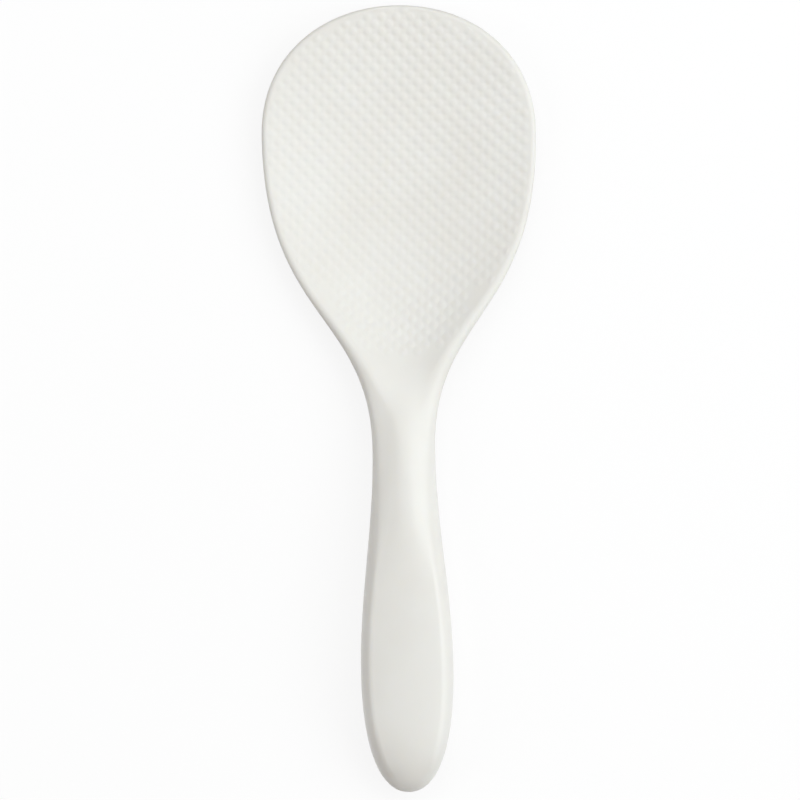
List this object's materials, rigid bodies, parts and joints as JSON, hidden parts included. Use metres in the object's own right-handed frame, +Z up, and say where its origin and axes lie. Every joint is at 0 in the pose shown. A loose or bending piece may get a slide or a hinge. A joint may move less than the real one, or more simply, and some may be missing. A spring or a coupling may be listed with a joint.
{
  "type": "rice paddle",
  "caption": "White moulded rice paddle with a broad dished serving blade, small raised non-stick dots on its face, a slim neck and a rounded teardrop handle.",
  "frame": {"origin": "on the table, below the middle of the paddle's length and width", "axes": "+X across the paddle, +Y along it to the tip of the blade, +Z up, out of the dished face"},
  "size_m": [0.0698, 0.2, 0.0152],
  "materials": {
    "moulding": "white polypropylene, satin from the mould"
  },
  "bodies": {
    "root": {"paddle": "moulding"}
  },
  "joints": []
}
